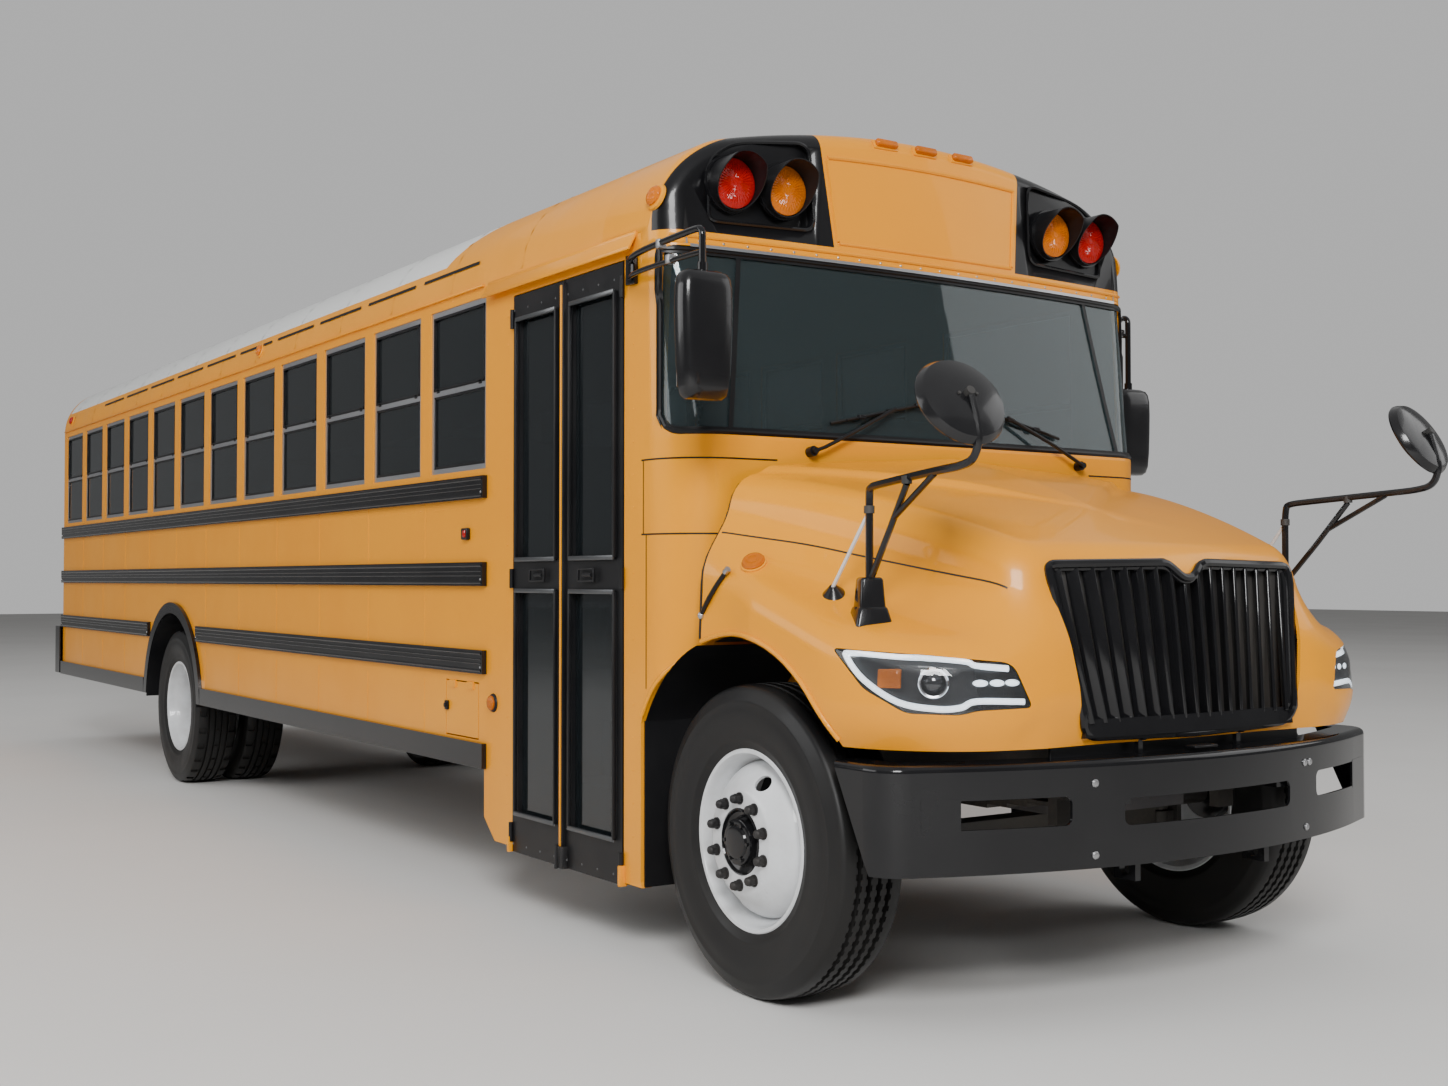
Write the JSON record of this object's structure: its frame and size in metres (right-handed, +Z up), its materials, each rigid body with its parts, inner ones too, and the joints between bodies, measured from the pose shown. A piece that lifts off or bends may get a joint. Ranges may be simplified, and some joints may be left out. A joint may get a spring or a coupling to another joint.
{
  "type": "school bus",
  "caption": "Conventional school bus with a hooded front, split entry door, benches, twin rear wheels and opening doors, hood, hatches and stop arm",
  "frame": {"origin": "on the ground under the middle of the bus's overall box", "axes": "+X to the driver's side, +Y to the rear, +Z up; the bus faces -Y"},
  "size_m": [2.816, 11.7088, 3.168],
  "materials": {
    "body_yellow": "gloss school-bus yellow enamel",
    "roof_white": "semi-gloss white roof paint",
    "trim_black": "gloss black enamel",
    "chassis_black": "satin black chassis paint",
    "cast_iron": "rough cast, painted black",
    "bright_steel": "bright machined steel",
    "exhaust_steel": "aluminised steel, dulled by heat",
    "tyre_rubber": "black tyre rubber",
    "wheel_white": "white powder coat",
    "sash_aluminium": "mill-finish window sash",
    "tinted_glass": "grey tinted safety glass",
    "clear_glass": "laminated windshield with a slight green tint",
    "door_black": "satin black door frame",
    "seat_vinyl": "grey-blue padded vinyl",
    "cabin_plastic": "grained dark grey plastic",
    "floor_rubber": "ribbed black floor covering",
    "lamp_lens": "ribbed red and amber lenses",
    "headlamp_lens": "clear polycarbonate over a dark housing",
    "mirror_black": "black moulded mirror housings",
    "stop_red": "plain red enamel",
    "engine_grey": "grey painted castings"
  },
  "bodies": {
    "bus": {"chassis_frame": "chassis_black", "leaf_springs": "chassis_black", "front_axle": "cast_iron", "rear_axle": "cast_iron", "engine_block": "engine_grey", "drive_shaft": "bright_steel", "fuel_tank": "chassis_black", "exhaust": "exhaust_steel", "right_wall": "body_yellow", "left_wall": "body_yellow", "window_frames": "sash_aluminium", "window_glass": "tinted_glass", "rub_rails": "trim_black", "roof": "roof_white", "rear_wall": "body_yellow", "floor": "floor_rubber", "entry_steps": "floor_rubber", "cowl": "body_yellow", "windshield": "clear_glass", "front_cap": "body_yellow", "warning_lamps": "lamp_lens", "front_bumper": "trim_black", "rear_bumper": "trim_black", "side_mirrors": "mirror_black", "seat_cushions": "seat_vinyl", "seat_backs": "seat_vinyl", "seat_frames": "chassis_black", "driver_seat": "seat_vinyl", "dashboard": "cabin_plastic"},
    "hood": {"hood": "body_yellow", "headlamps": "headlamp_lens", "grille": "trim_black", "crossover_mirrors": "mirror_black"},
    "entry_door_front": {"door_front_leaf": "door_black", "door_front_leaf_glass": "tinted_glass"},
    "entry_door_rear": {"door_rear_leaf": "door_black", "door_rear_leaf_glass": "tinted_glass"},
    "emergency_door": {"emergency_door": "body_yellow", "emergency_door_glass": "tinted_glass"},
    "access_door": {"access_door": "body_yellow"},
    "roof_hatch_front": {"roof_hatch_front": "roof_white"},
    "roof_hatch_rear": {"roof_hatch_rear": "roof_white"},
    "stop_arm": {"stop_arm": "stop_red"},
    "steering_wheel": {"steering_wheel": "cabin_plastic"},
    "right_knuckle": {"right_knuckle": "cast_iron"},
    "left_knuckle": {"left_knuckle": "cast_iron"},
    "tie_rod": {"tie_rod": "cast_iron"},
    "front_left_wheel": {"front_left_wheel": "wheel_white", "front_left_tyre": "tyre_rubber"},
    "rear_left_wheel": {"rear_left_wheels": "wheel_white", "rear_left_tyres": "tyre_rubber"},
    "front_right_wheel": {"front_right_wheel": "wheel_white", "front_right_tyre": "tyre_rubber"},
    "rear_right_wheel": {"rear_right_wheels": "wheel_white", "rear_right_tyres": "tyre_rubber"}
  },
  "joints": [
    {"name": "steer_right", "type": "hinge", "parent": "bus", "child": "right_knuckle", "pos_m": [-0.84, -4.7806, 0.52], "axis": [0, 0, 1], "range_deg": [-40, 40]},
    {"name": "steer_left", "type": "hinge", "parent": "bus", "child": "left_knuckle", "pos_m": [0.84, -4.7806, 0.52], "axis": [0, 0, 1], "range_deg": [-40, 40]},
    {"name": "tie_rod_pivot", "type": "hinge", "parent": "right_knuckle", "child": "tie_rod", "pos_m": [-0.84, -4.5706, 0.395], "axis": [0, 0, 1], "range_deg": [-40, 40]},
    {"name": "steering_turn", "type": "hinge", "parent": "bus", "child": "steering_wheel", "pos_m": [0.62, -3.8806, 1.72], "axis": [0, 0.5299, 0.848], "range_deg": [-720, 720]},
    {"name": "front_left_wheel_spin", "type": "hinge", "parent": "left_knuckle", "child": "front_left_wheel", "pos_m": [1.03, -4.7806, 0.52], "axis": [1, 0, 0], "continuous": true},
    {"name": "rear_left_wheel_spin", "type": "hinge", "parent": "bus", "child": "rear_left_wheel", "pos_m": [1.04, 2.0694, 0.52], "axis": [1, 0, 0], "continuous": true},
    {"name": "front_right_wheel_spin", "type": "hinge", "parent": "right_knuckle", "child": "front_right_wheel", "pos_m": [-1.03, -4.7806, 0.52], "axis": [1, 0, 0], "continuous": true},
    {"name": "rear_right_wheel_spin", "type": "hinge", "parent": "bus", "child": "rear_right_wheel", "pos_m": [-1.04, 2.0694, 0.52], "axis": [1, 0, 0], "continuous": true},
    {"name": "hood_tilt", "type": "hinge", "parent": "bus", "child": "hood", "pos_m": [0, -5.6676, 0.888], "axis": [1, 0, 0], "range_deg": [0, 60]},
    {"name": "entry_door_front_swing", "type": "hinge", "parent": "bus", "child": "entry_door_front", "pos_m": [-1.21, -4.0476, 1.4], "axis": [0, 0, 1], "range_deg": [0, 90]},
    {"name": "entry_door_rear_swing", "type": "hinge", "parent": "bus", "child": "entry_door_rear", "pos_m": [-1.21, -3.1386, 1.4], "axis": [0, 0, 1], "range_deg": [-90, 0]},
    {"name": "emergency_door_swing", "type": "hinge", "parent": "bus", "child": "emergency_door", "pos_m": [-0.437, 5.6744, 1.785], "axis": [0, 0, 1], "range_deg": [0, 110]},
    {"name": "access_door_lift", "type": "hinge", "parent": "bus", "child": "access_door", "pos_m": [-1.203, -2.6331, 0.937], "axis": [0, 1, 0], "range_deg": [0, 90]},
    {"name": "roof_hatch_front_lift", "type": "hinge", "parent": "bus", "child": "roof_hatch_front", "pos_m": [0, -2.0826, 3.142], "axis": [1, 0, 0], "range_deg": [0, 80]},
    {"name": "roof_hatch_rear_lift", "type": "hinge", "parent": "bus", "child": "roof_hatch_rear", "pos_m": [0, 2.8174, 3.142], "axis": [1, 0, 0], "range_deg": [0, 80]},
    {"name": "stop_arm_swing", "type": "hinge", "parent": "bus", "child": "stop_arm", "pos_m": [1.216, -3.9306, 1.5], "axis": [0, 0, -1], "range_deg": [0, 90]}
  ],
  "couplings": [
    {"joint": "steer_left", "follows": "steer_right", "ratio": 1},
    {"joint": "tie_rod_pivot", "follows": "steer_right", "ratio": -1},
    {"joint": "steering_turn", "follows": "steer_right", "ratio": 18},
    {"joint": "entry_door_rear_swing", "follows": "entry_door_front_swing", "ratio": -1}
  ]
}
